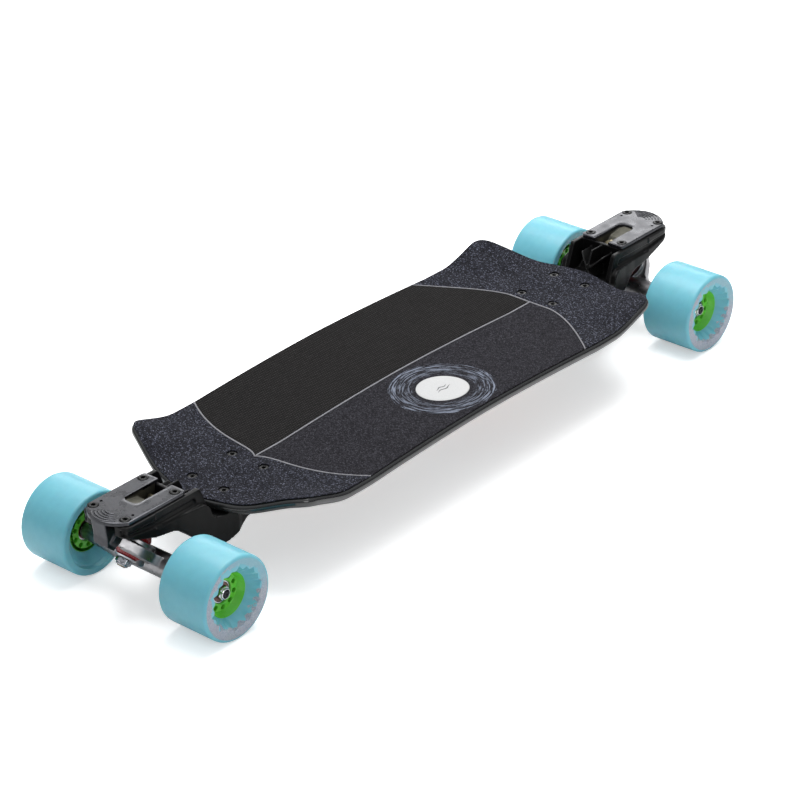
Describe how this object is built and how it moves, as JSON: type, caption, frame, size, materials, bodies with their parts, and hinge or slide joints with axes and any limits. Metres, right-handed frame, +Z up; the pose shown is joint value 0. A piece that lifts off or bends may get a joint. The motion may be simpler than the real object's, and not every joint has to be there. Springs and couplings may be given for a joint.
{
  "type": "longboard skateboard",
  "caption": "Concave longboard deck slung low between two cantilever brackets, with reverse-kingpin trucks that lean-steer and large soft free-spinning wheels.",
  "frame": {"origin": "on the ground under the middle of the deck, centred between the four wheels", "axes": "+Z up, +Y along the board towards the rear bracket, +X across it to the rider's right when facing the rear bracket from behind the front one"},
  "size_m": [0.241, 0.83, 0.1074],
  "materials": {
    "deck_lacquer": "gloss black lacquer over a moulded wooden deck",
    "grip_coarse": "coarse sparkling dark blue-grey grip",
    "grip_weave": "fine woven brown-black grip",
    "grip_fine": "fine-grained charcoal grip",
    "badge_white": "plain white die-cut disc",
    "bracket_black": "satin black forged and machined, bright worn edges",
    "bolt_black": "black oxide",
    "baseplate_metal": "dark silver-grey polish",
    "pivot_rubber": "moulded black",
    "kingpin_brass": "passivated, pale brass colour",
    "chrome": "bright plated",
    "bushing_red": "dark red cast urethane, slightly translucent",
    "hanger_metal": "satin silver",
    "steel": "bright turned steel",
    "urethane": "light cyan cast urethane, satin tread, printed side ring",
    "core_green": "lime green moulded core"
  },
  "bodies": {
    "board": {"deck": "deck_lacquer", "grip_tip_front": "grip_coarse", "grip_tip_rear": "grip_coarse", "grip_panel_left": "grip_weave", "grip_panel_right": "grip_fine", "grip_badge": "badge_white", "bracket_front": "bracket_black", "deck_bolt_front_1": "bolt_black", "deck_bolt_front_2": "bolt_black", "deck_bolt_front_3": "bolt_black", "deck_bolt_front_4": "bolt_black", "truck_bolt_front_1": "bolt_black", "truck_bolt_front_2": "bolt_black", "truck_bolt_front_3": "bolt_black", "truck_bolt_front_4": "bolt_black", "baseplate_front": "baseplate_metal", "pivot_cup_front": "pivot_rubber", "kingpin_front": "kingpin_brass", "kingpin_nut_front": "chrome", "cup_washer_board_front": "chrome", "cup_washer_road_front": "chrome", "bushing_board_front": "bushing_red", "bushing_road_front": "bushing_red", "bracket_rear": "bracket_black", "deck_bolt_rear_1": "bolt_black", "deck_bolt_rear_2": "bolt_black", "deck_bolt_rear_3": "bolt_black", "deck_bolt_rear_4": "bolt_black", "truck_bolt_rear_1": "bolt_black", "truck_bolt_rear_2": "bolt_black", "truck_bolt_rear_3": "bolt_black", "truck_bolt_rear_4": "bolt_black", "baseplate_rear": "baseplate_metal", "pivot_cup_rear": "pivot_rubber", "kingpin_rear": "kingpin_brass", "kingpin_nut_rear": "chrome", "cup_washer_board_rear": "chrome", "cup_washer_road_rear": "chrome", "bushing_board_rear": "bushing_red", "bushing_road_rear": "bushing_red"},
    "hanger_front": {"hanger_front": "hanger_metal", "axle_front": "steel", "axle_nut_front_left": "steel", "axle_nut_front_right": "steel"},
    "hanger_rear": {"hanger_rear": "hanger_metal", "axle_rear": "steel", "axle_nut_rear_left": "steel", "axle_nut_rear_right": "steel"},
    "wheel_front_left": {"tyre_front_left": "urethane", "wheel_core_front_left": "core_green", "bearings_front_left": "steel"},
    "wheel_front_right": {"tyre_front_right": "urethane", "wheel_core_front_right": "core_green", "bearings_front_right": "steel"},
    "wheel_rear_left": {"tyre_rear_left": "urethane", "wheel_core_rear_left": "core_green", "bearings_rear_left": "steel"},
    "wheel_rear_right": {"tyre_rear_right": "urethane", "wheel_core_rear_right": "core_green", "bearings_rear_right": "steel"}
  },
  "joints": [
    {"name": "steer_front", "type": "hinge", "parent": "board", "child": "hanger_front", "pos_m": [0, -0.37599, 0.05749], "axis": [0, -0.7071, 0.7071], "range_deg": [-18, 18], "stiffness_Nm_per_rad": 30, "deforming": ["bushing_board_front", "bushing_road_front"]},
    {"name": "steer_rear", "type": "hinge", "parent": "board", "child": "hanger_rear", "pos_m": [0, 0.37599, 0.05749], "axis": [0, 0.7071, 0.7071], "range_deg": [-18, 18], "stiffness_Nm_per_rad": 30, "deforming": ["bushing_board_rear", "bushing_road_rear"]},
    {"name": "spin_front_left", "type": "hinge", "parent": "hanger_front", "child": "wheel_front_left", "pos_m": [-0.091, -0.361, 0.0425], "axis": [1, 0, 0], "continuous": true},
    {"name": "spin_front_right", "type": "hinge", "parent": "hanger_front", "child": "wheel_front_right", "pos_m": [0.091, -0.361, 0.0425], "axis": [1, 0, 0], "continuous": true},
    {"name": "spin_rear_left", "type": "hinge", "parent": "hanger_rear", "child": "wheel_rear_left", "pos_m": [-0.091, 0.361, 0.0425], "axis": [1, 0, 0], "continuous": true},
    {"name": "spin_rear_right", "type": "hinge", "parent": "hanger_rear", "child": "wheel_rear_right", "pos_m": [0.091, 0.361, 0.0425], "axis": [1, 0, 0], "continuous": true}
  ]
}
